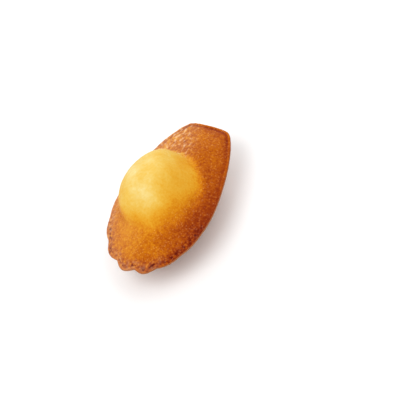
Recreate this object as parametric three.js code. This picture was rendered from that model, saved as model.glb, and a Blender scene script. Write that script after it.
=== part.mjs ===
// A madeleine: a small shell-shaped sponge cake, one solid piece. It lies on its fluted shell side
// with the humped face up. Millimetres, +Z up. The narrow hinge end of the shell points to +Y and
// the scalloped fan end to -Y. The shape is worked out with Z = 0 at the edge of the face, and the
// finished solid is then stood on the origin.
import * as THREE from "three";
import { mergeVertices } from "three/addons/utils/BufferGeometryUtils.js";

const { clamp, degToRad, lerp, smoothstep } = THREE.MathUtils;

// ---- outline of the cake, seen from above ----
const WIDTH = 46.6; // over the widest place, without the scallops
const WIDEST_Y = -4; // where the cake is widest
const FAN_REACH = 34.7; // from there to the fan end
const HINGE_REACH = 47.7; // from there to where the sides would meet if the end weren't blunt
const FAN_ROUNDNESS = { across: 2.04, along: 2.05 }; // powers of the outline's curve, 2 is an ellipse
const HINGE_ROUNDNESS = { across: 2.03, along: 1.65 };
const HINGE_LEAN = 3.1; // sideways lean of the hinge end, towards +X
const LEAN_POWER = 2;
const HINGE_END = { x: 2.3, y: 40.5, slant: 0.13, sharpness: 70 }; // line that cuts the end off

// ---- flutes of the shell, which fan out from the hinge ----
const HINGE = new THREE.Vector2(0, 38); // the point where all flutes would meet
const GROOVES_PER_SIDE = 7; // on each side of the groove in the middle
const FLUTE_ANGLE = degToRad(7.7); // between two grooves, seen from the hinge
const FLUTE_ROUNDNESS = 1.3; // 1 gives round crests with sharp grooves, and 2 an even wave
const SCALLOP_DEPTH = 1.95; // groove to crest at the fan end's edge
const SCALLOP_START_Y = 31; // the scallops begin here, near the hinge end ...
const SCALLOP_GROWTH = 4; // ... and deepen towards the fan end: the higher, the later
const SCALLOP_MEAN = 0.55; // share of a scallop's depth that lies inside the plain outline
const FLUTE_DEPTH = 1.3; // groove to crest on the shell, near the fan end's edge
const FLUTE_RUN_IN = 3; // a groove has its full depth this far below the lip
const FLUTE_END = { from: 0.15, to: 0.45 }; // shares of the way to the edge over which grooves begin
const FAINT_SIDE = 0.35; // share of the depths on the +X side, where the batter ran over the edge

// ---- face with its flange and hump ----
const FLANGE_RISE = 5.1; // from the edge of the face to its middle
const HUMP_CENTRE = new THREE.Vector2(-3.5, -0.7);
const HUMP_RADIUS = { left: 17.9, right: 18.7, along: 20.3 }; // along its own axes, left is -X
const HUMP_TURN = 0.35; // radians, counterclockwise seen from above
const HUMP_HEIGHT = 12.9; // above the flange
const STEEP_FLANK = { fullness: 2.4, foot: 0.55 };
const SOFT_FLANK = { fullness: 2.4, foot: 1.7 }; // runs out softly into the flange
const SOFT_HEADING = 0.9; // radians from the fan end towards +X: the flank is softest there
const FLANK_CHANGE = { from: -0.5, to: 0.5 }; // -1 is opposite to that heading, and 1 is along it
const HUMP_RIM_DROP = 40; // the higher, the closer to the edge the hump comes down
// Slow swells of the risen crumb: half their height, then radians per millimetre, then phase.
const SWELLS = [
  { size: 0.11, x: 0.29, y: 0.22, phase: 1.3 },
  { size: 0.11, x: 0.29, y: -0.22, phase: 1.3 },
  { size: 0.18, x: -0.14, y: 0.34, phase: 0.5 },
];

// ---- shell side ----
const LIP_HEIGHT = 0.95; // plain upright band under the edge of the face
const SHELL_DEPTH = 15; // from the lip down
const SHELL_POWER = 2.2; // curve of the shell from its deepest point to the lip
const RESTING_CUT = 0.35; // thickness that the flat resting spot takes off the deepest point
const MIDDLE = new THREE.Vector2(0, -0.9); // the shell's deepest point

// ---- how finely the solid is cut into facets ----
const STEPS_PER_FLUTE = 6;
const HINGE_STEPS = 40;
const HUMP_RINGS = 10;
const FLANGE_RINGS = 7;
const SHELL_RINGS = 18;
const SHELL_RING_SPACING = 1.25; // above 1 the rings crowd together at the lip
const WIDEST_FOOT = 0.965; // share of the way to the edge that the hump's rings may take
const SCALLOP_INSET = 14; // the higher, the closer to the edge the face's scallops stay
const BISECTIONS = 40;
const TINY = 1e-6;

const crust = new THREE.MeshStandardMaterial({ color: 0xd9892f, roughness: 0.62, metalness: 0 });

// 1 on the plain outline, less inside it and more outside.
function outlineValue({ x, y }) {
  const onHingeSide = y > WIDEST_Y;
  const { across, along } = onHingeSide ? HINGE_ROUNDNESS : FAN_ROUNDNESS;
  const share = Math.abs(y - WIDEST_Y) / (onHingeSide ? HINGE_REACH : FAN_REACH);
  const cut = (y + HINGE_END.slant * (x - HINGE_END.x)) / HINGE_END.y;
  const forward = Math.max(y - WIDEST_Y, 0) / (HINGE_END.y - WIDEST_Y);
  const lean = HINGE_LEAN * forward ** LEAN_POWER;
  const body = (Math.abs(x - lean) / (WIDTH / 2)) ** across + share ** along;
  return onHingeSide ? body + Math.max(cut, 0) ** HINGE_END.sharpness : body;
}

// The point of the plain outline that lies from centre in the given direction.
function outlinePoint(centre, direction) {
  let inside = 0;
  let outside = FAN_REACH + HINGE_REACH;
  for (let i = 0; i < BISECTIONS; i++) {
    const distance = (inside + outside) / 2;
    const point = centre.clone().addScaledVector(direction, distance);
    if (outlineValue(point) < 1) inside = distance;
    else outside = distance;
  }
  return centre.clone().addScaledVector(direction, inside);
}

// The direction at a bearing, which is 0 towards the fan end and grows towards +X.
function directionAt(bearing) {
  return new THREE.Vector2(Math.sin(bearing), -Math.cos(bearing));
}

function bearingOf(point, centre) {
  return Math.atan2(point.x - centre.x, centre.y - point.y);
}

// Share of the way from the middle to the plain outline: 0 in the middle, 1 on the outline.
function shareToEdge(point) {
  const offset = point.clone().sub(MIDDLE);
  const distance = offset.length();
  if (distance < TINY) return 0;
  const edge = outlinePoint(MIDDLE, offset.normalize());
  return Math.min(distance / edge.distanceTo(MIDDLE), 1);
}

// Round crests with narrow grooves between them: 0 in a groove and 1 on a crest. The shell is plain
// past the last crest on either side.
function fluteWave(bearing) {
  const flutes = Math.min(Math.abs(bearing) / FLUTE_ANGLE, GROOVES_PER_SIDE + 0.5);
  return Math.abs(Math.sin(flutes * Math.PI)) ** FLUTE_ROUNDNESS;
}

// How far the edge stands out, at a point of the plain outline, because of the scallops.
function scallop(point) {
  const wave = fluteWave(bearingOf(point, HINGE)) - SCALLOP_MEAN;
  const fanEnd = WIDEST_Y - FAN_REACH;
  const onTheWay = clamp((SCALLOP_START_Y - point.y) / (SCALLOP_START_Y - fanEnd), 0, 1);
  const side = lerp(1, FAINT_SIDE, smoothstep(point.x, 0, WIDTH / 3));
  return SCALLOP_DEPTH * wave * onTheWay ** SCALLOP_GROWTH * side;
}

// The outline's stations, counterclockwise: a point of the plain outline, and the shift that the
// scallops give it. The steps along the fan end follow the flutes, and the rest are even.
function makeStations() {
  const lastFluteStep = (GROOVES_PER_SIDE + 0.5) * STEPS_PER_FLUTE;
  const rays = [];
  for (let i = -lastFluteStep; i <= lastFluteStep; i++) {
    rays.push({ centre: HINGE, bearing: (i / STEPS_PER_FLUTE) * FLUTE_ANGLE });
  }
  const first = outlinePoint(HINGE, directionAt(rays[0].bearing));
  const last = outlinePoint(HINGE, directionAt(rays.at(-1).bearing));
  const from = bearingOf(last, MIDDLE);
  const to = bearingOf(first, MIDDLE) + 2 * Math.PI;
  for (let i = 1; i < HINGE_STEPS; i++) {
    rays.push({ centre: MIDDLE, bearing: lerp(from, to, i / HINGE_STEPS) });
  }
  return rays.map(makeStation);
}

function makeStation({ centre, bearing }) {
  const nudge = 1e-3;
  const edge = outlinePoint(centre, directionAt(bearing));
  const before = outlinePoint(centre, directionAt(bearing - nudge));
  const after = outlinePoint(centre, directionAt(bearing + nudge));
  const along = after.sub(before).normalize();
  const outward = new THREE.Vector2(along.y, -along.x);
  return { edge, bulge: outward.multiplyScalar(scallop(edge)) };
}

// Where a point lies as seen from the hump's centre, along the hump's own axes. The length is 1 at
// the hump's foot.
function humpOffset(point) {
  const offset = point.clone().rotateAround(HUMP_CENTRE, -HUMP_TURN).sub(HUMP_CENTRE);
  const across = offset.x < 0 ? HUMP_RADIUS.left : HUMP_RADIUS.right;
  return new THREE.Vector2(offset.x / across, offset.y / HUMP_RADIUS.along);
}

// Height of the hump as a share of its full height. Its flank changes from steep to soft round the
// hump.
function humpShare(point) {
  const offset = humpOffset(point);
  const radius = offset.length();
  if (radius >= 1) return 0;
  const heading = offset.dot(directionAt(SOFT_HEADING)) / Math.max(radius, TINY);
  const softness = smoothstep(heading, FLANK_CHANGE.from, FLANK_CHANGE.to);
  const fullness = lerp(STEEP_FLANK.fullness, SOFT_FLANK.fullness, softness);
  const foot = lerp(STEEP_FLANK.foot, SOFT_FLANK.foot, softness);
  return (1 - radius ** fullness) ** foot;
}

// Height of the swells, which die out at the edge of the face.
function swellHeight(point, share) {
  const sum = SWELLS.reduce((height, { size, x, y, phase }) => {
    return height + size * Math.sin(x * point.x + y * point.y + phase);
  }, 0);
  return sum * (1 - share ** 4);
}

function faceHeight(point) {
  const share = shareToEdge(point);
  const flange = FLANGE_RISE * (1 - share ** 2);
  const hump = HUMP_HEIGHT * humpShare(point) * (1 - share ** HUMP_RIM_DROP);
  return flange + hump + swellHeight(point, share);
}

// Depth of a groove of the shell at a point: shallower towards the hinge, where the flutes narrow,
// and gone on the resting spot.
function grooveDepth(point, share) {
  const narrowing = clamp(point.distanceTo(HINGE) / (HINGE.y - WIDEST_Y + FAN_REACH), 0, 1);
  const clearOfRest = smoothstep(share, FLUTE_END.from, FLUTE_END.to);
  const side = lerp(1, FAINT_SIDE, smoothstep(point.x, WIDTH / 4, WIDTH / 2));
  return FLUTE_DEPTH * narrowing * clearOfRest * side;
}

function shellHeight(point) {
  const share = shareToEdge(point);
  const bowl = SHELL_DEPTH * (1 - share ** SHELL_POWER);
  const runIn = smoothstep(bowl, 0, FLUTE_RUN_IN);
  const groove = grooveDepth(point, share) * (1 - fluteWave(bearingOf(point, HINGE))) * runIn;
  return -LIP_HEIGHT - Math.min(bowl, SHELL_DEPTH - RESTING_CUT) + groove;
}

// The point of the hump's foot that lies between its centre and a point of the outline. Where the
// hump reaches the edge, a narrow flange is still kept free.
function humpFoot(edge) {
  const reach = 1 / humpOffset(edge).length();
  return HUMP_CENTRE.clone().lerp(edge, Math.min(reach, WIDEST_FOOT));
}

// A vertex of the face. Rings run from the hump's top to its foot and on to the edge.
function facePoint({ edge, bulge }, ring) {
  const foot = humpFoot(edge);
  const onHump = Math.min(ring / HUMP_RINGS, 1);
  const onFlange = Math.max((ring - HUMP_RINGS) / FLANGE_RINGS, 0);
  const point = HUMP_CENTRE.clone().lerp(foot, Math.sin((onHump * Math.PI) / 2)).lerp(edge, onFlange);
  const share = point.distanceTo(HUMP_CENTRE) / edge.distanceTo(HUMP_CENTRE);
  const height = faceHeight(point);
  point.addScaledVector(bulge, share ** SCALLOP_INSET);
  return new THREE.Vector3(point.x, point.y, height);
}

// A vertex of the shell side. Rings run from the lip's lower edge to the hinge.
function shellPoint({ edge, bulge }, ring) {
  const share = 1 - (ring / SHELL_RINGS) ** SHELL_RING_SPACING;
  const point = HINGE.clone().lerp(edge, share);
  const height = shellHeight(point);
  point.addScaledVector(bulge, share);
  return new THREE.Vector3(point.x, point.y, height);
}

// The cake is a sphere whose rings and meridians are moved onto the face and the shell.
function makeCake() {
  const stations = makeStations();
  const faceRings = HUMP_RINGS + FLANGE_RINGS;
  const rings = faceRings + 1 + SHELL_RINGS;
  const geometry = new THREE.SphereGeometry(1, stations.length, rings);
  const position = geometry.attributes.position;
  for (let ring = 0; ring <= rings; ring++) {
    for (let i = 0; i <= stations.length; i++) {
      const station = stations[i % stations.length];
      const point = ring <= faceRings
        ? facePoint(station, ring)
        : shellPoint(station, ring - faceRings - 1);
      position.setXYZ(ring * (stations.length + 1) + i, point.x, point.y, point.z);
    }
  }
  geometry.deleteAttribute("normal");
  geometry.deleteAttribute("uv");
  return mergeVertices(geometry);
}

// Moves a solid so that the middle of its box's underside is the origin.
function standOnOrigin(geometry) {
  geometry.computeBoundingBox();
  const { min, max } = geometry.boundingBox;
  geometry.translate(-(min.x + max.x) / 2, -(min.y + max.y) / 2, -min.z);
  geometry.computeVertexNormals();
  return geometry;
}

const cake = new THREE.Mesh(standOnOrigin(makeCake()), crust);
cake.name = "madeleine";

const madeleine = new THREE.Group();
madeleine.add(cake);

export default madeleine;
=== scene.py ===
"""A madeleine: one small shell-shaped sponge cake on a pale floor.

The cake lies on its fluted side with the humped face up. Its form follows the solid that it stands
for, from the same named sizes, and the crust's own relief and colours are added here. Sizes in the
classes are in millimetres unless they say otherwise, and the scene is in metres.
"""

import logging
import math
from dataclasses import dataclass, field
from enum import Enum
from functools import cached_property

import bmesh
import bpy
import numpy as np
from mathutils import Matrix, Vector, noise


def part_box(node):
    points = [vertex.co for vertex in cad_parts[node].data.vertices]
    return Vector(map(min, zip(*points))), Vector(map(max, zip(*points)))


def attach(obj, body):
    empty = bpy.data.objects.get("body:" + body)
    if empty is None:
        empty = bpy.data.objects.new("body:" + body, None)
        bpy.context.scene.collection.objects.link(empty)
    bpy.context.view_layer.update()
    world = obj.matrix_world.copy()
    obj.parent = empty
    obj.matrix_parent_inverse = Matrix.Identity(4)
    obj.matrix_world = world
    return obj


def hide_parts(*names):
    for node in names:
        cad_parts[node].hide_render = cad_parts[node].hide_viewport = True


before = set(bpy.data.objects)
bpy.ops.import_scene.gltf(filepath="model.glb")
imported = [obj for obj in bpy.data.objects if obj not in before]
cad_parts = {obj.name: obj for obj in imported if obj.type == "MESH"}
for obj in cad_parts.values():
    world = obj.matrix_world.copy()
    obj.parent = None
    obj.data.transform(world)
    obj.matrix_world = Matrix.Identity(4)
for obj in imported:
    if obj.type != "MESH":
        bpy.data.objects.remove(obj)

LOG = logging.getLogger("madeleine")
MM = 0.001
TINY = 1e-9
SEED_SPREAD = np.array([1.0, 1.7, -2.3])
CAKE_NODE = "madeleine"
ROOT_BODY = "root"
BROWNING = "browning"
MOULD_SIDE = "mould_side"
# attribute that carries the cover of the painted sheen
SHEEN_ATTRIBUTE = "painted_sheen"

Array = np.ndarray
Point = tuple[float, float]
Range = tuple[float, float]
Ranges = tuple[float, float, float, float]
Colour = tuple[float, float, float]
Direction = tuple[float, float, float]
Socket = bpy.types.NodeSocket


def eased(share: Array) -> Array:
    """Eases both ends of a share's way from 0 to 1."""
    return share * share * (3.0 - 2.0 * share)


def ramp(value: Array, start: Array | float, end: Array | float) -> Array:
    """Goes smoothly from 0 at start to 1 at end, whichever of the two is lower."""
    return eased(np.clip((value - start) / (end - start), 0.0, 1.0))


def bell(value: Array, middle: Array | float, width: float) -> Array:
    """1 where value is at the middle, falling smoothly to nearly 0 two widths from it."""
    return np.exp(-(((value - middle) / width) ** 2))


def blend(first: Array | float, second: Array | float, share: Array) -> Array:
    """Goes from first to second as share goes from 0 to 1."""
    return first + (second - first) * share


def length_of(vectors: Array) -> Array:
    """Lengths of vectors that lie along the last axis."""
    return np.sqrt((vectors * vectors).sum(axis=-1))


def headings(bearings: Array) -> Array:
    """Unit vectors at bearings that are 0 towards the fan end (-Y) and grow towards +X."""
    return np.stack([np.sin(bearings), -np.cos(bearings)], axis=-1)


def bearings_of(points: Array, centre: Point) -> Array:
    """Bearings of plan points seen from a centre, in radians."""
    return np.arctan2(points[..., 0] - centre[0], centre[1] - points[..., 1])


@dataclass(frozen=True)
class Pattern:
    """Fractal noise over the surface, the same on every run: the size of its largest lumps, the
    number of its layers, a seed that moves it, and about how far it swings to either side of 0. Each
    layer is finer than the one before, and the smoothness makes it weaker."""

    grain: float
    layers: int
    seed: float
    swing: float = 1.0
    smoothness: float = 1.0
    times_finer: float = 2.0

    def at(self, points: Array) -> Array:
        """Works out the pattern.

        Args:
            points: Places in millimetres, one row each.

        Returns:
            One height for each place.
        """
        places = (points / self.grain + self.seed * SEED_SPREAD).tolist()
        layers = (self.smoothness, self.times_finer, self.layers)
        return self.swing * np.array([noise.fractal(place, *layers) for place in places])


@dataclass(frozen=True)
class Pits:
    """Round pits at scattered places: the mean distance between the places, the radius of the
    largest pit, the share of the places that have one, a seed that moves them, a factor that mixes
    their luck, and the smallest pit's size as a share of the largest."""

    spacing: float
    radius: float
    share: float
    seed: float
    mixing: float = 7.3
    smallest: float = 0.5

    def at(self, points: Array) -> Array:
        """How deep points lie in the pits.

        Args:
            points: Places in millimetres, one row each.

        Returns:
            Depth shares, 1 in a pit's middle and 0 outside it.
        """
        depths = np.zeros(len(points))
        for index, place in enumerate((points / self.spacing + self.seed).tolist()):
            distances, centres = noise.voronoi(place)
            luck = 0.5 + 0.5 * noise.cell(centres[0] * self.mixing)
            if luck < self.share:
                size = blend(self.smallest, 1.0, luck / self.share)
                radius = self.radius / self.spacing * size
                depths[index] = max(1.0 - distances[0] / radius, 0.0)
        return eased(depths)


def even_values(places: Array, values: Array, count: int) -> Array:
    """Values that step evenly along a line of places, at each of which one value is given."""
    travelled = np.concatenate([[0.0], np.cumsum(length_of(np.diff(places, axis=0)))])
    return np.interp(np.linspace(0.0, travelled[-1], count), travelled, values)


def rows_of(items: bpy.types.bpy_prop_collection, name: str) -> Array:
    """Reads three numbers of each item of a mesh.

    Args:
        items: Such as the mesh's vertices.
        name: Which of their values is read.

    Returns:
        One row for each item.
    """
    rows = np.empty(len(items) * 3)
    items.foreach_get(name, rows)
    return rows.reshape(-1, 3)


def add_object(name: str, data: bpy.types.ID) -> bpy.types.Object:
    """Puts a new object into the scene.

    Args:
        name: Its name.
        data: Its mesh, light or camera.

    Returns:
        The object.
    """
    made = bpy.data.objects.new(name, data)
    bpy.context.scene.collection.objects.link(made)
    return made


def add_mesh(name: str, shaped: bmesh.types.BMesh) -> bpy.types.Object:
    """Puts a new mesh object into the scene.

    Args:
        name: Its name.
        shaped: Its shape, which is freed.

    Returns:
        The object.
    """
    mesh = bpy.data.meshes.new(name)
    shaped.to_mesh(mesh)
    shaped.free()
    return add_object(name, mesh)


@dataclass(frozen=True)
class Outline:
    """The cake's plain outline seen from above, without its scallops."""

    width: float = 46.6
    widest_y: float = -4.0
    fan_reach: float = 34.7
    hinge_reach: float = 47.7
    fan_across: float = 2.04
    fan_along: float = 2.05
    hinge_across: float = 2.03
    hinge_along: float = 1.65
    lean: float = 3.1
    lean_power: float = 2.0
    end_x: float = 2.3
    end_y: float = 40.5
    end_slant: float = 0.13
    end_sharpness: float = 70.0
    halvings: int = 34
    nudge: float = 1e-3

    def value(self, points: Array) -> Array:
        """Tells the inside of the outline from the outside.

        Args:
            points: Plan points.

        Returns:
            1 on the outline, less inside it and more outside.
        """
        x, y = points[..., 0], points[..., 1]
        hinge_side = y > self.widest_y
        share = np.abs(y - self.widest_y) / np.where(hinge_side, self.hinge_reach, self.fan_reach)
        forward = np.maximum(y - self.widest_y, 0.0) / (self.end_y - self.widest_y)
        across = np.where(hinge_side, self.hinge_across, self.fan_across)
        along = np.where(hinge_side, self.hinge_along, self.fan_along)
        sideways = np.abs(x - self.lean * forward**self.lean_power) / (self.width / 2)
        cut = np.maximum((y + self.end_slant * (x - self.end_x)) / self.end_y, 0.0)
        return sideways**across + share**along + np.where(hinge_side, cut, 0.0) ** self.end_sharpness

    def distance(self, centre: Point, directions: Array) -> Array:
        """Distance from a centre to the outline, by halving.

        Args:
            centre: A plan point inside the outline.
            directions: Unit vectors in plan.

        Returns:
            The distance along each direction.
        """
        inside = np.zeros(directions.shape[:-1])
        outside = np.full(directions.shape[:-1], self.fan_reach + self.hinge_reach)
        for _ in range(self.halvings):
            middle = (inside + outside) / 2
            within = self.value(centre + directions * middle[..., None]) < 1.0
            inside = np.where(within, middle, inside)
            outside = np.where(within, outside, middle)
        return inside

    def edge(self, centre: Point, bearings: Array) -> Array:
        """Points of the outline at bearings from a centre."""
        directions = headings(bearings)
        return centre + directions * self.distance(centre, directions)[..., None]

    def share(self, points: Array, centre: Point) -> Array:
        """Share of the way from a centre to the outline.

        Args:
            points: Plan points.
            centre: A plan point inside the outline.

        Returns:
            0 at the centre and 1 on the outline.
        """
        offsets = points - centre
        distances = length_of(offsets)
        directions = offsets / np.maximum(distances, TINY)[..., None]
        directions[distances < TINY] = (0.0, -1.0)
        return distances / self.distance(centre, directions)

    def outward(self, edges: Array) -> Array:
        """Directions square to the outline.

        Args:
            edges: Points of the outline.

        Returns:
            One unit vector for each point.
        """
        nudges = self.nudge * np.eye(2)
        slopes = [self.value(edges + nudge) - self.value(edges - nudge) for nudge in nudges]
        slope = np.stack(slopes, axis=-1)
        return slope / length_of(slope)[..., None]


@dataclass(frozen=True)
class Flutes:
    """Grooves and round crests of the shell side, which fan out from the hinge. They are faint on
    the +X side, from a share of the outline's width on."""

    outline: Outline = Outline()
    hinge: Point = (0.0, 38.0)
    angle: float = math.radians(7.7)
    grooves_per_side: int = 7
    roundness: float = 1.3
    scallop_depth: float = 1.95
    scallop_start_y: float = 31.0
    scallop_growth: float = 4.0
    scallop_mean: float = 0.55
    groove_depth: float = 1.3
    groove_run_in: float = 3.0
    groove_end: Range = (0.15, 0.45)
    faint_side: float = 0.35
    faint_rim: Range = (0.0, 1 / 3)
    faint_grooves: Range = (0.25, 0.5)

    def wave(self, points: Array) -> Array:
        """Swing of the flutes.

        Args:
            points: Plan points.

        Returns:
            0 in a groove, and 1 on a crest and past the last one.
        """
        turns = np.abs(bearings_of(points, self.hinge)) / self.angle
        turns = np.minimum(turns, self.grooves_per_side + 0.5)
        return np.abs(np.sin(turns * math.pi)) ** self.roundness

    def stand_out(self, edges: Array) -> Array:
        """How far the scallops make the rim stand out.

        Args:
            edges: Points of the outline.

        Returns:
            The distance for each point, below 0 where the rim stands back.
        """
        span = self.scallop_start_y - self.outline.widest_y + self.outline.fan_reach
        on_the_way = np.clip((self.scallop_start_y - edges[..., 1]) / span, 0.0, 1.0)
        sideways = edges[..., 0] / self.outline.width
        side = blend(1.0, self.faint_side, ramp(sideways, *self.faint_rim))
        depth = self.scallop_depth * on_the_way**self.scallop_growth * side
        return depth * (self.wave(edges) - self.scallop_mean)

    def scallop(self, edges: Array) -> Array:
        """Shift of the outline's points that makes the scallops, as plan vectors."""
        return self.outline.outward(edges) * self.stand_out(edges)[..., None]

    def groove(self, points: Array, share: Array, bowl: Array) -> Array:
        """Depth of the grooves on the shell side.

        Args:
            points: Plan points.
            share: Their shares of the way from the middle to the outline.
            bowl: Their depths below the lip.

        Returns:
            How far the surface stands back from the plain bowl.
        """
        longest = self.hinge[1] - self.outline.widest_y + self.outline.fan_reach
        narrowing = np.clip(length_of(points - self.hinge) / longest, 0.0, 1.0)
        clear = ramp(share, *self.groove_end)
        sideways = points[..., 0] / self.outline.width
        side = blend(1.0, self.faint_side, ramp(sideways, *self.faint_grooves))
        run_in = ramp(bowl, 0.0, self.groove_run_in)
        return self.groove_depth * narrowing * clear * side * run_in * (1.0 - self.wave(points))


@dataclass(frozen=True)
class Hump:
    """The round hump that rose in the middle of the face."""

    centre: Point = (-3.5, -0.7)
    radius: Range = (18.7, 20.3)
    left_radius: float = 17.9
    turn: float = 0.35
    height: float = 12.9
    fullness: float = 2.4
    steep_foot: float = 0.55
    soft_foot: float = 1.7
    rim_drop: float = 40.0
    soft_turn: float = 0.9
    flank_change: Range = (-0.5, 0.5)

    def polar(self, points: Array) -> tuple[Array, Array, Array]:
        """Where plan points lie as seen from the centre.

        Args:
            points: Plan points.

        Returns:
            Their distances, 1 at the hump's foot, and the shares of their headings towards the fan
            end and towards +X, from -1 to 1.
        """
        x, y = np.moveaxis(points - self.centre, -1, 0)
        along = x * math.cos(self.turn) + y * math.sin(self.turn)
        along = along / np.where(along < 0.0, self.left_radius, self.radius[0])
        ahead = (y * math.cos(self.turn) - x * math.sin(self.turn)) / self.radius[1]
        distances = np.hypot(along, ahead)
        scale = np.maximum(distances, TINY)
        return distances, -ahead / scale, along / scale

    def rise(self, points: Array) -> Array:
        """Height of the hump above the flange.

        Args:
            points: Plan points.

        Returns:
            One height for each point, 0 from the hump's foot outwards.
        """
        distances, fan, right = self.polar(points)
        heading = fan * math.cos(self.soft_turn) + right * math.sin(self.soft_turn)
        foot = blend(self.steep_foot, self.soft_foot, ramp(heading, *self.flank_change))
        return self.height * (1.0 - np.minimum(distances, 1.0) ** self.fullness) ** foot


@dataclass
class FaceMap:
    """Where points of the face lie and what crumb they have, which relief and colours follow.

    A gap is measured inwards from the scalloped rim, a turn in radians round the hump, and a reach
    in the hump's radius. A band has a middle and a width, and any other range goes from where
    something starts to where it is full.
    """

    flutes: Flutes
    hump: Hump
    middle: Point
    places: Array
    flange_reach: Range = (0.8, 1.05)
    shoulder_y: Range = (13.0, 22.0)
    shoulder_x: Range = (14.0, 6.0)
    shoulder_slant: float = 0.3
    hinge_y: Range = (26.0, 33.0)
    side_x: Range = (8.0, 14.0)
    side_y: Range = (0.0, 16.0)
    bead_on_side: float = 0.6
    bead_band: Range = (0.5, 0.45)
    valley_on_side: float = 0.3
    valley_band: Range = (1.5, 0.6)
    fan_y: Range = (-6.0, -22.0)
    fan_rim_gap: Range = (6.5, 1.2)
    mould_x: tuple[Range, Range] = ((-15.0, -8.0), (5.0, -3.0))
    mould_gap: Range = (1.3, 0.6)
    mould_wander: Pattern = Pattern(2.4, 2, 71.9, 0.5)
    pit_line_band: Range = (1.5, 0.45)
    pit_line_wander: Pattern = Pattern(3.1, 2, 83.9, 0.6)
    pit_line_break: Range = (0.0, 0.35)
    pit_line_breaks: Pattern = Pattern(1.3, 2, 77.3)
    fold_turns: tuple[Range, Range] = ((-0.75, -0.45), (0.75, 0.35))
    fold_band: Range = (0.2, 1.0)
    fold_edge: Range = (-0.02, 0.15)
    fold_stretch: float = 3.5
    fold_pattern: Pattern = Pattern(0.9, 2, 91.3)
    grain_pattern: Pattern = Pattern(1.1, 3, 8.7)
    streak_pattern: Pattern = Pattern(0.9, 2, 41.1)
    streak_stretch: float = 3.2
    small_pits: Pits = Pits(2.1, 0.5, 0.3, 5.2)
    small_pits_inside: float = 0.3
    large_pits: Pits = Pits(2.6, 0.8, 0.7, 15.8)
    large_pits_rim: Range = (0.3, 0.9)
    large_pits_gap: Range = (0.1, 0.5)
    wrinkle_heading: Point = (0.45, 0.89)
    wrinkle_stretch: float = 2.6
    wrinkle_pattern: Pattern = Pattern(1.9, 2, 51.7, 2.6)
    x: Array = field(init=False)
    y: Array = field(init=False)
    share: Array = field(init=False)
    gap: Array = field(init=False)
    reach: Array = field(init=False)
    fan: Array = field(init=False)
    right: Array = field(init=False)
    rise: Array = field(init=False)

    def __post_init__(self) -> None:
        """Works out each point's share of the way to the outline, its gap, its reach, its heading
        towards the fan end and towards +X of the hump, from -1 to 1, and the hump's height."""
        points = self.places[:, :2]
        self.x, self.y = points.T
        distances = length_of(points - self.middle)
        directions = (points - self.middle) / np.maximum(distances, TINY)[:, None]
        edges = self.flutes.outline.distance(self.middle, directions)
        self.share = np.minimum(distances / edges, 1.0)
        rim = self.middle + directions * edges[:, None]
        straight = np.abs((self.flutes.outline.outward(rim) * directions).sum(axis=1))
        inside = (edges - distances) * straight + self.flutes.stand_out(rim)
        self.gap = np.maximum(inside, 0.0)
        self.reach, self.fan, self.right = self.hump.polar(points)
        self.rise = self.hump.rise(points)

    def flange(self) -> Array:
        """0 on the hump and 1 off it."""
        return ramp(self.reach, *self.flange_reach)

    def rays(self, stretch: float) -> Array:
        """Places in which a pattern is drawn out along lines that lead away from the hump.

        Args:
            stretch: How many times longer than wide the pattern's lumps become.

        Returns:
            One row for each point.
        """
        points = self.places[:, :2] - self.hump.centre
        distances = length_of(points)
        around = points / np.maximum(distances, TINY)[:, None] * self.hump.radius[0]
        return np.column_stack([around, (distances - self.rise) / stretch])

    def shoulder(self) -> Array:
        """1 on the flange's -X side towards the hinge end, where the crust is wrinkled."""
        slanting = self.x + self.shoulder_slant * self.y
        return ramp(self.y, *self.shoulder_y) * ramp(slanting, *self.shoulder_x)

    def along_edge(self, on_side: float) -> Array:
        """1 towards the hinge end, and the given share of it on the +X side before that end."""
        side = ramp(self.x, *self.side_x) * ramp(self.y, *self.side_y)
        return np.maximum(ramp(self.y, *self.hinge_y), on_side * side)

    def bead(self) -> Array:
        """1 on the raised edge that follows the hinge end and the +X side."""
        return self.along_edge(self.bead_on_side) * bell(self.gap, *self.bead_band)

    def bead_valley(self) -> Array:
        """1 in the dark line inside the raised edge."""
        return self.along_edge(self.valley_on_side) * bell(self.gap, *self.valley_band)

    def fan_end(self) -> Array:
        """1 towards the fan end and 0 on the rest of the face."""
        return ramp(self.y, *self.fan_y)

    def fan_rim(self) -> Array:
        """1 along the edge of the fan end, 0 more than a few millimetres inside."""
        return self.fan_end() * ramp(self.gap, *self.fan_rim_gap)

    def mould_edge(self) -> Array:
        """1 on the smooth band along the fan end's rim that lay against the mould.

        Returns:
            One share for each point.
        """
        start, full = self.mould_gap
        start = start + self.mould_wander.at(self.places)
        along = ramp(self.x, *self.mould_x[0]) * ramp(self.x, *self.mould_x[1])
        return along * (self.y < 0.0) * ramp(self.gap, start, full)

    @cached_property
    def pit_line(self) -> Array:
        """1 on the dark, broken line just inside the mould's smooth band.

        Returns:
            One share for each point.
        """
        middle, width = self.pit_line_band
        middle = middle + self.pit_line_wander.at(self.places)
        broken = ramp(self.pit_line_breaks.at(self.places), *self.pit_line_break)
        return self.fan_end() * bell(self.gap, middle, width) * broken

    def from_hinge(self) -> Array:
        """Radians round the hump from its hinge side, growing towards +X."""
        return np.arctan2(self.right, -self.fan)

    @cached_property
    def folds(self) -> Array:
        """1 on the short creases along the hump's foot, on its hinge side, which are painted pale as
        a glint.

        Returns:
            One share for each point.
        """
        foot = self.hump.radius[1]
        turns, outward = self.from_hinge(), self.reach * foot - self.rise
        along = turns * foot / self.fold_stretch
        drawn = np.column_stack([along, outward, np.zeros(len(along))])
        crease = ramp(self.fold_pattern.at(drawn), *self.fold_edge)
        for turn in self.fold_turns:
            crease = crease * ramp(turns, *turn)
        return crease * bell(outward - foot, *self.fold_band)

    @cached_property
    def grain(self) -> Array:
        """Heights of the crumb, mostly between -1 and 1."""
        return self.grain_pattern.at(self.places)

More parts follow.
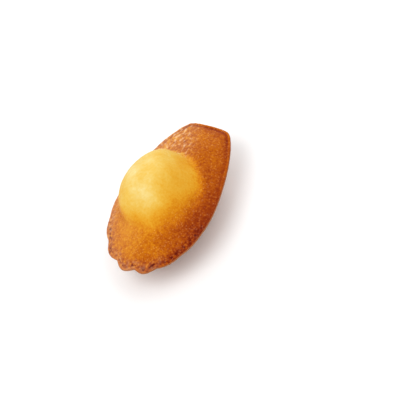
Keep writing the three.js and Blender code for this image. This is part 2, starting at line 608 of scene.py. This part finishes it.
    @cached_property
    def streaks(self) -> Array:
        """Heights of lines that lead away from the hump, mostly between -1 and 1."""
        return self.streak_pattern.at(self.rays(self.streak_stretch))

    @cached_property
    def holes(self) -> Array:
        """Depths of the pits, 0 to 1: small ones on the flange and larger ones along the fan rim.

        Returns:
            One share for each point.
        """
        small = self.small_pits.at(self.places) * self.flange()
        large = self.large_pits.at(self.places) * ramp(self.fan_rim(), *self.large_pits_rim)
        large = large * ramp(self.gap, *self.large_pits_gap)
        return np.maximum(small * blend(self.small_pits_inside, 1.0, self.fan_rim()), large)

    @cached_property
    def wrinkles(self) -> Array:
        """Heights of the thin ridges beside the hump, 0 to 1.

        Returns:
            One share for each point.
        """
        sideways, forward = self.wrinkle_heading
        along, across = sideways * self.x + forward * self.y, forward * self.x - sideways * self.y
        drawn = np.column_stack([along / self.wrinkle_stretch, across, np.zeros(len(along))])
        from_ridge = np.minimum(np.abs(self.wrinkle_pattern.at(drawn)), 1.0)
        return (1.0 - from_ridge) * self.shoulder()


@dataclass(frozen=True)
class Relief:
    """Fine shapes of the crust, as heights along its normals. A pair of heights holds for the hump
    and for the flange."""

    swell: Range = (0.07, 0.12)
    swell_pattern: Pattern = Pattern(6.0, 2, 3.1)
    crumb: Range = (0.012, 0.1)
    rim_crumb: float = 0.16
    calm_gap: Range = (0.0, 2.5)
    calm_crumb: float = 0.5
    streak: float = 0.03
    pit_depth: float = 0.3
    wrinkle: float = 0.22
    bead: float = 0.2
    bead_valley: float = 0.12
    pit_line: float = 0.25
    fold: float = 0.3
    shell_crumb: Pattern = Pattern(1.4, 3, 12.9, 0.025)
    resting_rise: Range = (0.0, 0.5)

    def face(self, here: FaceMap) -> Array:
        """Heights on the humped face.

        Args:
            here: Where the points lie.

        Returns:
            One height for each point.
        """
        off_hump = here.flange()
        calm = ramp(here.gap, *self.calm_gap)
        swell = self.swell_pattern.at(here.places) * blend(*self.swell, off_hump)
        streaks = here.streaks * self.streak * off_hump
        crumb = blend(blend(*self.crumb, off_hump), self.rim_crumb, here.fan_rim())
        grain = here.grain * crumb * blend(self.calm_crumb, 1.0, calm)
        edge = self.bead * here.bead() - self.bead_valley * here.bead_valley()
        raised = self.wrinkle * here.wrinkles + self.fold * here.folds
        sunken = self.pit_depth * here.holes + self.pit_line * here.pit_line
        return grain + (streaks + swell) * calm + edge + raised - sunken

    def shell(self, places: Array) -> Array:
        """Heights on the shell side, whose resting spot stays flat."""
        above_spot = places[:, 2] - places[:, 2].min()
        return self.shell_crumb.at(places) * ramp(above_spot, *self.resting_rise)


@dataclass(frozen=True)
class Browning:
    """How brown the crust is, as a strength that its finish turns into colour. A pair of strengths
    holds for the hump and for the flange, a turn is a heading seen from the hump, and a band has a
    middle and a width. An edge is the reach over which the hump's strength goes over into the
    flange's, at the hinge end or the fan end."""

    crown: Range = (0.175, 0.37)
    crown_slant: float = 0.22
    crown_x: Range = (-4.0, 10.0)
    corner: float = 0.08
    corner_slope: float = -0.7
    corner_range: Range = (11.0, 17.0)
    hinge_edge: Range = (0.84, 1.03)
    fan_edge: Range = (0.48, 1.19)
    fan_turn: Range = (0.3, 1.0)
    fan_slant: float = 0.35
    right_edge: float = 0.12
    right_turn: Range = (0.2, 0.9)
    pale_beyond: float = 0.1
    pale_band: Range = (0.42, 0.32)
    flange_middle: float = 0.62
    flange_slope: float = 0.009
    hinge_end: float = 0.04
    hinge_y: Range = (14.0, 24.0)
    rim: float = 0.13
    rim_share: Range = (0.84, 1.0)
    left_rim: float = 0.1
    left_x: Range = (-9.0, -20.0)
    right_side: float = 0.135
    right_x: Range = (4.0, 16.0)
    right_band: Range = (-12.6, 17.4)
    # painted shade in the hollow just off the hump's +X foot
    right_foot_shade: float = 0.07
    foot_turn: Range = (0.3, 0.9)
    foot_band: Range = (1.2, 0.15)
    tip: float = 0.07
    tip_x: Range = (10.0, 2.0)
    tip_band: Range = (5.5, 3.5)
    fan_rim: float = 0.09
    blotches: Pattern = Pattern(6.0, 1, 21.3, 0.06)
    spot: Range = (0.03, 0.04)
    spot_pattern: Pattern = Pattern(1.9, 2, 31.9)
    streak: float = 0.05
    # painted light on the crumb: its peaks paler as highlights and its hollows browner as shade,
    # stronger on the rim and the shoulder
    grain: Range = (0.02, 0.08)
    grain_on_rim: float = 3.5
    grain_on_shoulder: float = 1.5
    hole: float = 0.55
    # painted glints: the wrinkles' ridges are made paler
    wrinkle: float = 0.12
    pit_line: float = 0.6
    shoulder: float = 0.09
    # painted highlight: the raised edge is made paler, and the line inside it browner
    bead: float = 0.22
    mould_edge: float = 0.7
    mould_edge_cover: float = 0.6
    fold: float = 0.08
    fold_glint_cover: float = 0.8
    least: float = 0.05
    shell: Range = (0.55, 0.8)
    shell_depth: Range = (0.2, 2.5)
    # painted shade: the shell side gets browner towards +X
    shell_right_shade: float = 0.25
    shell_right_shade_x: Range = (-2.0, 12.0)

    def face(self, here: FaceMap) -> Array:
        """Strength on the humped face.

        Args:
            here: Where the points lie.

        Returns:
            One strength for each point.
        """
        strength = blend(self.hump(here), self.flange(here), self.off_crown(here))
        strength = strength + self.mottling(here)
        strength = strength + self.hole * here.holes + self.pit_line * here.pit_line
        # The raised edge is painted paler, a highlight of its back-lit rim, and the line inside it
        # browner.
        strength = strength + self.bead * (here.bead_valley() - here.bead())
        strength = blend(strength, self.mould_edge, self.mould_edge_cover * here.mould_edge())
        # painted glint: the folds go over into a pale strength
        strength = blend(strength, self.fold, self.fold_glint_cover * here.folds)
        return np.maximum(strength, self.least)

    def hump(self, here: FaceMap) -> Array:
        """Strength on the hump, which is palest on its -X side."""
        crown = blend(*self.crown, ramp(here.x + self.crown_slant * here.y, *self.crown_x))
        return crown + self.corner * ramp(self.corner_slope * (here.x + here.y), *self.corner_range)

    def flange(self, here: FaceMap) -> Array:
        """Strength on the flange, before its mottling.

        Args:
            here: Where the points lie.

        Returns:
            One strength for each point.
        """
        right_side = bell(here.y, *self.right_band) * ramp(here.x, *self.right_x)
        # painted shade: browner just off the hump's +X foot, where the hump shades the flange
        right_foot_shade = bell(here.reach, *self.foot_band) * ramp(here.right, *self.foot_turn)
        flange = self.flange_middle + self.flange_slope * here.x
        flange = flange + self.hinge_end * ramp(here.y, *self.hinge_y)
        flange = flange + self.rim * ramp(here.share, *self.rim_share)
        flange = flange + self.left_rim * ramp(here.x, *self.left_x)
        return flange + self.right_side * right_side + self.right_foot_shade * right_foot_shade

    def off_crown(self, here: FaceMap) -> Array:
        """Goes from the hump's strength to the flange's, softly towards the fan end.

        Args:
            here: Where the points lie.

        Returns:
            0 where the crust is as pale as the hump and 1 where it is as brown as the flange.
        """
        fan = ramp(here.fan + self.fan_slant * here.right, *self.fan_turn)
        start, end = (blend(*ends, fan) for ends in zip(self.hinge_edge, self.fan_edge))
        beyond = self.pale_beyond * bell(here.from_hinge(), *self.pale_band)
        end = end + self.right_edge * ramp(here.right, *self.right_turn)
        return ramp(here.reach, start + beyond, end + beyond)

    def mottling(self, here: FaceMap) -> Array:
        """What the crumb, the wrinkles and the browner places add. Painted light is part of it: the
        crumb's peaks and the wrinkles' ridges are paler, as highlights, and the crumb's hollows
        browner, as shade.

        Args:
            here: Where the points lie.

        Returns:
            One addition for each point.
        """
        off_hump, rim, shoulder = here.flange(), here.fan_rim(), here.shoulder()
        blotches = self.blotches.at(here.places)
        spots = self.spot_pattern.at(here.places) * blend(*self.spot, off_hump)
        streaks = self.streak * here.streaks * off_hump
        tip = here.fan_end() * ramp(here.x, *self.tip_x) * bell(here.gap, *self.tip_band)
        darker = self.fan_rim * rim + self.tip * tip + self.shoulder * shoulder
        rough = 1.0 + self.grain_on_rim * rim + self.grain_on_shoulder * shoulder
        # painted highlights on the crumb's peaks and the wrinkles' ridges, and painted shade in the
        # crumb's hollows
        painted_crumb_light = here.grain * blend(*self.grain, off_hump) * rough + self.wrinkle * here.wrinkles
        return blotches + spots + streaks + darker - painted_crumb_light

    def shell_side(self, x: Array, below_lip: Array, wave: Array) -> Array:
        """Strength on the shell side, which is pale on the lip and in the grooves, with painted shade
        that makes it browner towards +X, its shadowed side.
        """
        # painted shade: browner towards +X
        right = self.shell_right_shade * ramp(x, *self.shell_right_shade_x)
        return blend(*self.shell, wave * ramp(below_lip, *self.shell_depth)) + right


@dataclass(frozen=True)
class PaintedSheen:
    """Painted sheen on the crust: a pale colour laid over it, as a share of its cover. It stands for
    reflected light: the haze along the rims and the mould's smooth band, and the glints on the
    wrinkled shoulder and on the folds.
    """

    veil: float = 0.07
    veil_x: Range = (4.0, -16.0)
    shoulder: float = 0.06
    wrinkles: float = 0.52
    rim: float = 0.25
    rim_gap: Range = (7.0, 1.5)
    rim_reach: Range = (0.95, 1.05)
    left_x: Range = (-12.0, -20.0)
    fan: float = 0.6
    fan_x: Range = (14.0, 6.0)
    fleck_stretch: float = 2.2
    fleck_pattern: Pattern = Pattern(0.8, 2, 61.3)
    fleck_edge: Range = (0.03, 0.45)
    between_flecks: float = 0.3
    mould_edge: float = 0.15
    folds: float = 0.2
    most: float = 0.9

    def face(self, here: FaceMap) -> Array:
        """Cover of the painted sheen on the humped face.

        Args:
            here: Where the points lie.

        Returns:
            One share for each point.
        """
        flecks = ramp(self.fleck_pattern.at(here.rays(self.fleck_stretch)), *self.fleck_edge)
        veil = self.veil * ramp(here.x, *self.veil_x) * here.flange()
        fan = self.fan * here.fan_rim() * ramp(here.x, *self.fan_x)
        rim = np.maximum(ramp(here.x, *self.left_x), fan) * (1.0 - here.pit_line)
        rim = rim * ramp(here.gap, *self.rim_gap) * ramp(here.reach, *self.rim_reach)
        rim = self.rim * rim * blend(self.between_flecks, 1.0, flecks)
        wrinkled = here.shoulder() * (self.shoulder + self.wrinkles * flecks * here.wrinkles)
        cover = np.maximum(veil + rim + wrinkled, self.mould_edge * here.mould_edge())
        return np.clip(cover + self.folds * here.folds, 0.0, self.most)


class Nodes:
    """A short way to write a material's node tree."""

    def __init__(self, material: bpy.types.Material) -> None:
        """Takes the material whose tree is written, and empties it.

        Args:
            material: The material.
        """
        material.use_nodes = True
        self.tree = material.node_tree
        self.tree.nodes.clear()

    def add(self, kind: str, inputs: dict | None = None, **settings: object) -> bpy.types.Node:
        """Adds a node.

        Args:
            kind: The node's type, without its leading ShaderNode.
            inputs: Values or output sockets for its inputs, by name or number.
            settings: Values for its own properties.

        Returns:
            The new node.
        """
        made = self.tree.nodes.new("ShaderNode" + kind)
        for name, value in settings.items():
            setattr(made, name, value)
        for key, value in (inputs or {}).items():
            if isinstance(value, Socket):
                self.tree.links.new(value, made.inputs[key])
            else:
                made.inputs[key].default_value = value
        return made

    def math(self, operation: str, *values: object, clamp: bool = False) -> Socket:
        """The result of a Math node on sockets and numbers."""
        inputs = dict(enumerate(values))
        return self.add("Math", inputs, operation=operation, use_clamp=clamp).outputs[0]

    def between(self, value: Socket, *ends: float) -> Socket:
        """Maps a value from the first two of the ends to the last two, held between them."""
        names = ("From Min", "From Max", "To Min", "To Max")
        return self.add("MapRange", dict(zip(names, ends)) | {"Value": value}).outputs["Result"]

    def surface(self, inputs: dict) -> None:
        """Gives the material its surface."""
        shader = self.add("BsdfPrincipled", inputs)
        self.add("OutputMaterial", {"Surface": shader.outputs[0]})

    def mixed(self, share: Socket, first: object, second: object) -> Socket:
        """One colour going over into another."""
        return self.add("Mix", {"Factor": share, 6: first, 7: second}, data_type="RGBA").outputs[2]

    def noise(self, place: Socket, scale: float, detail: float, roughness: float) -> Socket:
        """Even mottling from 0 to 1, with so many lumps to the millimetre."""
        inputs = {"Vector": place, "Scale": scale, "Detail": detail, "Roughness": roughness}
        return self.add("TexNoise", inputs).outputs["Fac"]


@dataclass(frozen=True)
class CrustFinish:
    """Baked crust: pale yellow where it is least browned, through orange to dark brown.

    Four numbers are the two ends of a range and what they are mapped to. A scale is the number of
    lumps to the millimetre, and luck is the part of the dots' random numbers that has an effect.
    Fineness is the detail and the roughness of the mottling.
    """

    pigment: Colour = (1.0, 3.0, 10.5)
    least_blue: float = 0.001
    paleness: Ranges = (0.15, 0.4, 0.86, 1.0)
    # darkens all three channels alike as the strength grows
    even_darkening: Ranges = (0.55, 1.35, 1.0, 0.46)
    speckle_scale: float = 1.3
    speckle_middle: float = 0.5
    fineness: Range = (3.0, 0.6)
    speckle_swing: Ranges = (0.15, 0.9, 0.06, 0.6)
    dot_scale: float = 1.5
    dot_size: Ranges = (0.05, 0.55, 1.0, 0.0)
    dark_luck: Ranges = (0.8, 0.95, 0.0, 1.0)
    light_luck: Ranges = (0.5, 0.8, 0.0, 1.0)
    dot_swing: Ranges = (0.3, 0.9, 0.0, 0.2)
    # share of the pale sheen colour on the lighter dots: painted glints of the crumb
    glint_dots: Ranges = (0.4, 0.6, 0.0, 0.11)
    least: float = 0.05
    # pale colour of the painted sheen and glints
    painted_sheen: Colour = (0.88, 0.62, 0.37)
    mould_crest: Colour = (0.33, 0.115, 0.038)
    mould_groove: Colour = (0.40, 0.165, 0.065)
    mould_speckle: float = 0.5
    mould_turn: Ranges = (0.5, 0.85, 0.0, 1.0)
    roughness: Ranges = (0.3, 0.7, 0.36, 0.56)
    shine: float = 0.04
    bump_scale: float = 2.6
    bump_strength: float = 0.45
    bump_height: float = 0.00012

    def material(self) -> bpy.types.Material:
        """Makes the crust's material, whose patterns lie in the cake's own space.

        Returns:
            The new material.
        """
        made = bpy.data.materials.new("crust_baked")
        nodes = Nodes(made)
        place = nodes.add("TexCoord").outputs["Object"]
        scaled = nodes.add("Mapping", {"Vector": place, "Scale": (1 / MM, 1 / MM, 1 / MM)})
        millimetres = scaled.outputs["Vector"]
        browning, mould, painted_sheen = (
            nodes.add("Attribute", attribute_name=name).outputs["Fac"]
            for name in (BROWNING, MOULD_SIDE, SHEEN_ATTRIBUTE)
        )
        speckle = nodes.noise(millimetres, self.speckle_scale, *self.fineness)
        swing = nodes.math("SUBTRACT", speckle, self.speckle_middle)
        dots = self.dots(nodes, millimetres)
        light = nodes.math("MULTIPLY", dots, -1.0, clamp=True)
        # painted glints: the lighter dots also take the pale sheen colour
        pale = nodes.math("MULTIPLY", light, nodes.between(browning, *self.glint_dots))
        face = self.face_colour(nodes, self.strength(nodes, browning, swing, dots))
        # Painted sheen and glints: the face goes over into the pale sheen colour where the sheen's
        # cover and the lighter dots are.
        face = nodes.mixed(nodes.math("ADD", painted_sheen, pale), face, (*self.painted_sheen, 1.0))
        shell = self.shell_colour(nodes, browning, swing)
        grain = nodes.noise(millimetres, self.bump_scale, *self.fineness)
        bump = {"Strength": self.bump_strength, "Distance": self.bump_height, "Height": grain}
        nodes.surface(
            {
                "Base Color": nodes.mixed(mould, face, shell),
                "Roughness": nodes.between(speckle, *self.roughness),
                "Specular IOR Level": self.shine,
                "Normal": nodes.add("Bump", bump).outputs[0],
            }
        )
        return made

    def dots(self, nodes: Nodes, place: Socket) -> Socket:
        """Scattered small dots of the crumb.

        Args:
            nodes: The material's nodes.
            place: The place on the surface, in millimetres.

        Returns:
            Above 0 on the darker dots and below 0 on the lighter ones.
        """
        cells = nodes.add("TexVoronoi", {"Vector": place, "Scale": self.dot_scale})
        luck = nodes.add("SeparateColor", {"Color": cells.outputs["Color"]})
        dot = nodes.between(cells.outputs["Distance"], *self.dot_size)
        dark = nodes.between(luck.outputs[0], *self.dark_luck)
        light = nodes.between(luck.outputs[1], *self.light_luck)
        return nodes.math("MULTIPLY", dot, nodes.math("SUBTRACT", dark, light))

    def strength(self, nodes: Nodes, browning: Socket, swing: Socket, dots: Socket) -> Socket:
        """The browning with its mottling, which grows where the crust is darker.

        Args:
            nodes: The material's nodes.
            browning: How brown the crust is.
            swing: Even mottling round 0.
            dots: The dots, the darker ones above 0.

        Returns:
            The mottled strength.
        """
        mottling = nodes.math("MULTIPLY", swing, nodes.between(browning, *self.speckle_swing))
        dotted = nodes.math("MULTIPLY", dots, nodes.between(browning, *self.dot_swing))
        strength = nodes.math("ADD", nodes.math("ADD", browning, mottling), dotted)
        return nodes.math("MAXIMUM", strength, self.least)

    def face_colour(self, nodes: Nodes, strength: Socket) -> Socket:
        """Colour of the face, whose red, green and blue fade at their own rates as it browns.

        Args:
            nodes: The material's nodes.
            strength: How brown the crust is.

        Returns:
            The colour.
        """
        pale = nodes.between(strength, *self.paleness)
        # All three channels darken alike as the strength grows.
        darkened = nodes.math("MULTIPLY", nodes.between(strength, *self.even_darkening), pale)
        channels = []
        for rate in self.pigment:
            faded = nodes.math("EXPONENT", nodes.math("MULTIPLY", strength, -rate))
            channels.append(nodes.math("MULTIPLY", faded, darkened))
        channels[2] = nodes.math("ADD", channels[2], self.least_blue)
        return nodes.add("CombineColor", dict(enumerate(channels))).outputs[0]

    def shell_colour(self, nodes: Nodes, browning: Socket, swing: Socket) -> Socket:
        """Colour of the side that lay in the mould: browner on the crests.

        Args:
            nodes: The material's nodes.
            browning: How brown the crust is.
            swing: Even mottling round 0.

        Returns:
            The colour.
        """
        mottled = nodes.math("ADD", browning, nodes.math("MULTIPLY", swing, self.mould_speckle))
        crest = nodes.between(mottled, *self.mould_turn)
        return nodes.mixed(crest, (*self.mould_groove, 1.0), (*self.mould_crest, 1.0))


@dataclass(frozen=True)
class PlainFinish:
    """One even colour, for the floor."""

    name: str
    colour: Colour
    roughness: float

    def material(self) -> bpy.types.Material:
        """Makes the material.

        Returns:
            The new material.
        """
        made = bpy.data.materials.new(self.name)
        inputs = {"Base Color": (*self.colour, 1.0), "Roughness": self.roughness}
        Nodes(made).surface(inputs)
        return made


class Side(Enum):
    """The two sides of the cake, which meet at the rim."""

    FACE = "face"
    SHELL = "shell"


@dataclass
class Madeleine:
    """The cake: a cube of many squares, moved onto the face and the shell side.

    Each swell of the face is a wave of a height, with its turns per millimetre towards +X and +Y and
    the turn that it starts at, in radians.
    """

    flutes: Flutes = Flutes()
    hump: Hump = Hump()
    browning: Browning = Browning()
    relief: Relief = Relief()
    painted_sheen: PaintedSheen = PaintedSheen()
    finish: CrustFinish = CrustFinish()
    middle: Point = (0.0, -0.9)
    flange_rise: float = 5.1
    flange_power: float = 2.0
    lip_height: float = 0.95
    shell_depth: float = 15.0
    shell_power: float = 2.2
    resting_cut: float = 0.35
    scallop_inset: float = 14.0
    swells: tuple[Ranges, ...] = (
        (0.11, 0.29, 0.22, 1.3),
        (0.11, 0.29, -0.22, 1.3),
        (0.18, -0.14, 0.34, 0.5),
    )
    swell_power: float = 4.0
    cuts: int = 127
    meridians: int = 512
    samples: int = 96
    outline_samples: int = 2048
    rounded_share: float = 0.03
    rounding_steps: int = 4
    rounding: float = 0.5

    def face_height(self, points: Array) -> Array:
        """Height of the plain face over the rim's level.

        Args:
            points: Plan points.

        Returns:
            One height for each point.
        """
        share = np.minimum(self.flutes.outline.share(points, self.middle), 1.0)
        hump = self.hump.rise(points) * (1.0 - share**self.hump.rim_drop)
        height = self.flange_rise * (1.0 - share**self.flange_power) + hump
        for size, across, along, phase in self.swells:
            wave = np.sin(across * points[..., 0] + along * points[..., 1] + phase)
            height = height + size * wave * (1.0 - share**self.swell_power)
        return height

    def shell_height(self, points: Array) -> Array:
        """Height of the fluted shell side over the rim's level.

        Args:
            points: Plan points.

        Returns:
            One height for each point, below 0.
        """
        share = np.minimum(self.flutes.outline.share(points, self.middle), 1.0)
        bowl = self.shell_depth * (1.0 - share**self.shell_power)
        groove = self.flutes.groove(points, share, bowl)
        return -self.lip_height - np.minimum(bowl, self.shell_depth - self.resting_cut) + groove

    def profile(self, side: Side, edges: Array, shares: Array) -> Array:
        """Places on a side, along the lines from its centre to points of the outline.

        Args:
            side: The side of the cake.
            edges: Points of the outline.
            shares: How far along each line, 1 at the outline. On the shell side the lip follows,
                from 1 at its lower edge to 2 at the rim.

        Returns:
            Points in space, without the scallops.
        """
        centre = self.hump.centre if side is Side.FACE else self.middle
        points = centre + (edges - centre) * np.minimum(shares, 1.0)[..., None]
        if side is Side.FACE:
            heights = self.face_height(points)
        else:
            heights = self.shell_height(points) + self.lip_height * np.clip(shares - 1.0, 0.0, 1.0)
        return np.concatenate([points, heights[..., None]], axis=-1)

    def even_shares(self, side: Side, edges: Array) -> Array:
        """Shares along each line that step evenly over the surface.

        Args:
            side: The side of the cake.
            edges: One point of the outline for each line.

        Returns:
            A table with one row for each line and the shares at even steps along it.
        """
        furthest = 1.0 if side is Side.FACE else 2.0
        shares = np.linspace(0.0, furthest, self.samples)
        grid = np.broadcast_to(shares, (len(edges), self.samples))
        places = self.profile(side, np.repeat(edges[:, None], self.samples, axis=1), grid)
        return np.array([even_values(line, shares, self.samples) for line in places])

    def ring(self) -> Array:
        """Bearings from the middle that step evenly along the outline.

        Returns:
            A full turn of them, in radians.
        """
        bearings = np.linspace(0.0, 2 * math.pi, self.outline_samples + 1)
        edges = self.flutes.outline.edge(self.middle, bearings)
        return even_values(edges, bearings, self.meridians + 1)

    def place(self, side: Side, turns: Array, shares: Array) -> tuple[Array, Array]:
        """Moves grid points onto a side, as yet without the scallops.

        Args:
            side: The side of the cake.
            turns: Shares of a turn round the cake.
            shares: Shares of the way from the side's centre to the rim, over the surface.

        Returns:
            The points in space, and the plan shifts that the scallops then give them.
        """
        ring = self.ring()
        table = self.even_shares(side, self.flutes.outline.edge(self.middle, ring))
        bearings = np.interp(turns * self.meridians, np.arange(self.meridians + 1), ring)
        edges = self.flutes.outline.edge(self.middle, bearings)
        row, column = turns * self.meridians, shares * (self.samples - 1)
        low_row = np.minimum(row.astype(int), self.meridians - 1)
        low_column = np.minimum(column.astype(int), self.samples - 2)
        over, along = row - low_row, column - low_column
        first = blend(table[low_row, low_column], table[low_row, low_column + 1], along)
        second = blend(table[low_row + 1, low_column], table[low_row + 1, low_column + 1], along)
        reached = blend(first, second, over)
        places = self.profile(side, edges, reached)
        return places, self.scallop_shift(side, places[:, :2], edges, reached)

    def scallop_shift(self, side: Side, points: Array, edges: Array, reached: Array) -> Array:
        """Shifts that make the scalloped rim and carry it on over a side.

        Args:
            side: The side of the cake.
            points: Plan points of that side.
            edges: The point of the outline that each of them lies before.
            reached: Their shares of the way to it.

        Returns:
            Plan vectors.
        """
        if side is Side.FACE:
            return self.flutes.scallop(edges) * (reached**self.scallop_inset)[:, None]
        hinge = self.flutes.hinge
        along = self.flutes.outline.edge(hinge, bearings_of(points, hinge))
        share = length_of(points - hinge) / np.maximum(length_of(along - hinge), TINY)
        return self.flutes.scallop(along) * np.minimum(share, 1.0)[:, None]

    def build(self) -> bpy.types.Object:
        """Makes the cake's mesh and object, and dresses it.

        Returns:
            The finished object, at the origin.
        """
        shaped = bmesh.new()
        bmesh.ops.create_cube(shaped, size=2.0)
        bmesh.ops.subdivide_edges(shaped, edges=shaped.edges[:], cuts=self.cuts, use_grid_fill=True)
        cake = add_mesh("madeleine_cake", shaped)
        mesh = cake.data
        grid = np.tan(rows_of(mesh.vertices, "co") * math.pi / 4)
        grid /= length_of(grid)[:, None]
        turns = (np.arctan2(grid[:, 0], -grid[:, 1]) / (2 * math.pi)) % 1.0
        tilt = np.arccos(np.clip(grid[:, 2], -1.0, 1.0)) / (math.pi / 2)
        on_face = tilt <= 1.0 + TINY
        places = np.empty_like(grid)
        shifts = np.empty((len(grid), 2))
        for side, chosen in ((Side.FACE, on_face), (Side.SHELL, ~on_face)):
            shares = np.minimum(np.where(side is Side.FACE, tilt, 2.0 - tilt), 1.0)[chosen]
            places[chosen], shifts[chosen] = self.place(side, turns[chosen], shares)
        self.write_places(mesh, places)
        places = self.soften_rim(mesh, np.abs(tilt - 1.0))
        places[:, :2] += shifts
        self.write_places(mesh, places)
        self.dress(mesh, places, on_face)
        mesh.polygons.foreach_set("use_smooth", [True] * len(mesh.polygons))
        mesh.materials.append(self.finish.material())
        return cake

    def write_places(self, mesh: bpy.types.Mesh, places: Array) -> None:
        """Writes points in millimetres into a mesh in metres."""
        mesh.vertices.foreach_set("co", (places * MM).ravel())
        mesh.update()

    def soften_rim(self, mesh: bpy.types.Mesh, from_rim: Array) -> Array:
        """Rounds the edge between the face and the lip, and the lip's lower edge.

        Args:
            mesh: The mesh, already in place.
            from_rim: How far each point lies from the rim, as a share of a side.

        Returns:
            The mesh's points in millimetres.
        """
        shaped = bmesh.new()
        shaped.from_mesh(mesh)
        shaped.verts.ensure_lookup_table()
        near = [shaped.verts[index] for index in np.nonzero(from_rim < self.rounded_share)[0]]
        every_way = {"use_axis_x": True, "use_axis_y": True, "use_axis_z": True}
        for _ in range(self.rounding_steps):
            bmesh.ops.smooth_vert(shaped, verts=near, factor=self.rounding, **every_way)
        shaped.to_mesh(mesh)
        shaped.free()
        return rows_of(mesh.vertices, "co") / MM

    def dress(self, mesh: bpy.types.Mesh, places: Array, on_face: Array) -> None:
        """Gives the crust its relief, and writes what its material reads at each point.

        Args:
            mesh: The mesh, already in place.
            places: Its points in millimetres.
            on_face: Which of them lie on the face.
        """
        normals = rows_of(mesh.vertex_normals, "vector")
        here = FaceMap(self.flutes, self.hump, self.middle, places[on_face])
        shell = places[~on_face]
        below_lip, wave = -shell[:, 2] - self.lip_height, self.flutes.wave(shell[:, :2])
        heights, browning, painted_sheen = np.zeros((3, len(places)))
        heights[on_face] = self.relief.face(here)
        heights[~on_face] = self.relief.shell(shell)
        browning[on_face] = self.browning.face(here)
        browning[~on_face] = self.browning.shell_side(shell[:, 0], below_lip, wave)
        # painted sheen: the pale cover that stands for reflected light
        painted_sheen[on_face] = self.painted_sheen.face(here)
        self.stand(mesh, places + normals * heights[:, None])
        for name, values in ((BROWNING, browning), (MOULD_SIDE, ~on_face), (SHEEN_ATTRIBUTE, painted_sheen)):
            attribute = mesh.attributes.new(name, "FLOAT", "POINT")
            attribute.data.foreach_set("value", values.astype(np.float32))

    def stand(self, mesh: bpy.types.Mesh, places: Array) -> None:
        """Sets the mesh on the place of the solid that it stands for.

        Args:
            mesh: The mesh that is written.
            places: Its points in millimetres, not yet in that place.
        """
        low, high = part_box(CAKE_NODE)
        centre = (Vector(low) + Vector(high)) / 2 / MM
        box_centre = (places.min(axis=0) + places.max(axis=0)) / 2
        lowest = -self.lip_height - self.shell_depth + self.resting_cut
        shift = np.array([centre.x - box_centre[0], centre.y - box_centre[1], low[2] / MM - lowest])
        self.write_places(mesh, places + shift)


@dataclass(frozen=True)
class Lamp:
    """A soft square light, placed as the camera sees it: +X right, +Y up, +Z towards the camera."""

    name: str
    towards: Direction
    distance: float
    size: float
    power: float


@dataclass
class Studio:
    """Pale floor, soft lights and the camera. Its sizes are in metres and degrees, and the aim is how
    far the picture's middle lies to the left of the cake's and below it."""

    azimuth: float = 43.25
    elevation: float = 48.83
    roll: float = -26.15
    distance: float = 0.7
    focal_length: float = 148.86
    aim: Point = (-0.01319, 0.00182)
    rim_level: float = 0.0156
    floor_size: float = 4.0
    floor_finish: PlainFinish = PlainFinish("floor_pale", (0.9, 0.9, 0.9), 0.8)
    world_colour: Colour = (1.0, 1.0, 1.0)
    world_strength: float = 0.82
    lamps: tuple[Lamp, ...] = (
        Lamp("key_light", (-0.48, 0.2, 0.82), 0.8, 0.5, 2.4),
        Lamp("side_light", (-0.95, -0.1, 0.3), 0.8, 0.5, 0.6),
        Lamp("fill_light", (0.4, 0.65, 0.65), 0.9, 0.8, 1.7),
        Lamp("back_light", (-0.1, 0.95, -0.3), 0.8, 0.3, 1.3),
    )

    def axes(self) -> tuple[Vector, Vector, Vector]:
        """Directions as the camera sees them.

        Returns:
            Its right, up and backward directions.
        """
        turn, lift, roll = (math.radians(a) for a in (self.azimuth, self.elevation, self.roll))
        flat = math.cos(lift)
        back = Vector((math.sin(turn) * flat, -math.cos(turn) * flat, math.sin(lift)))
        level = Vector((math.cos(turn), math.sin(turn), 0.0))
        upright = back.cross(level)
        right = level * math.cos(roll) + upright * math.sin(roll)
        up = upright * math.cos(roll) - level * math.sin(roll)
        return right, up, back

    def build(self) -> None:
        """Makes the floor, the lights and the camera."""
        self.floor()
        self.world()
        for lamp in self.lamps:
            self.lamp(lamp)
        self.camera()

    def floor(self) -> None:
        """A plain pale floor."""
        shaped = bmesh.new()
        bmesh.ops.create_grid(shaped, x_segments=1, y_segments=1, size=self.floor_size / 2)
        floor = add_mesh("floor", shaped)
        floor.data.materials.append(self.floor_finish.material())

    def world(self) -> None:
        """Even light from all round."""
        world = bpy.data.worlds.new("studio")
        world.use_nodes = True
        background = world.node_tree.nodes["Background"]
        background.inputs["Color"].default_value = (*self.world_colour, 1.0)
        background.inputs["Strength"].default_value = self.world_strength
        bpy.context.scene.world = world

    def lamp(self, lamp: Lamp) -> None:
        """Places a light and turns it to the cake.

        Args:
            lamp: The light's place, size and power.
        """
        right, up, back = self.axes()
        sideways, upwards, backwards = lamp.towards
        direction = (right * sideways + up * upwards + back * backwards).normalized()
        light = bpy.data.lights.new(lamp.name, "AREA")
        light.size = lamp.size
        light.energy = lamp.power
        placed = add_object(lamp.name, light)
        placed.location = Vector((0.0, 0.0, self.rim_level)) + direction * lamp.distance
        placed.rotation_euler = direction.to_track_quat("Z", "Y").to_euler()

    def camera(self) -> None:
        """A long lens that looks down on the cake, rolled to one side."""
        right, up, back = self.axes()
        lens = bpy.data.cameras.new("camera")
        lens.lens = self.focal_length
        camera = add_object("camera", lens)
        aim = Vector((0.0, 0.0, self.rim_level)) - right * self.aim[0] - up * self.aim[1]
        turned = Matrix((right, up, back)).transposed().to_4x4()
        camera.matrix_world = Matrix.Translation(aim + back * self.distance) @ turned
        bpy.context.scene.camera = camera
        bpy.context.scene.view_settings.view_transform = "Standard"


def main() -> None:
    """Builds the studio and the cake, and reports each piece."""
    logging.basicConfig(level=logging.INFO, format="%(name)s: %(message)s")
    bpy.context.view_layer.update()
    Studio().build()
    LOG.info("studio is set")
    cake = Madeleine().build()
    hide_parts(CAKE_NODE)
    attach(cake, ROOT_BODY)
    LOG.info("%s has %d faces", cake.name, len(cake.data.polygons))


if __name__ == "__main__":
    main()
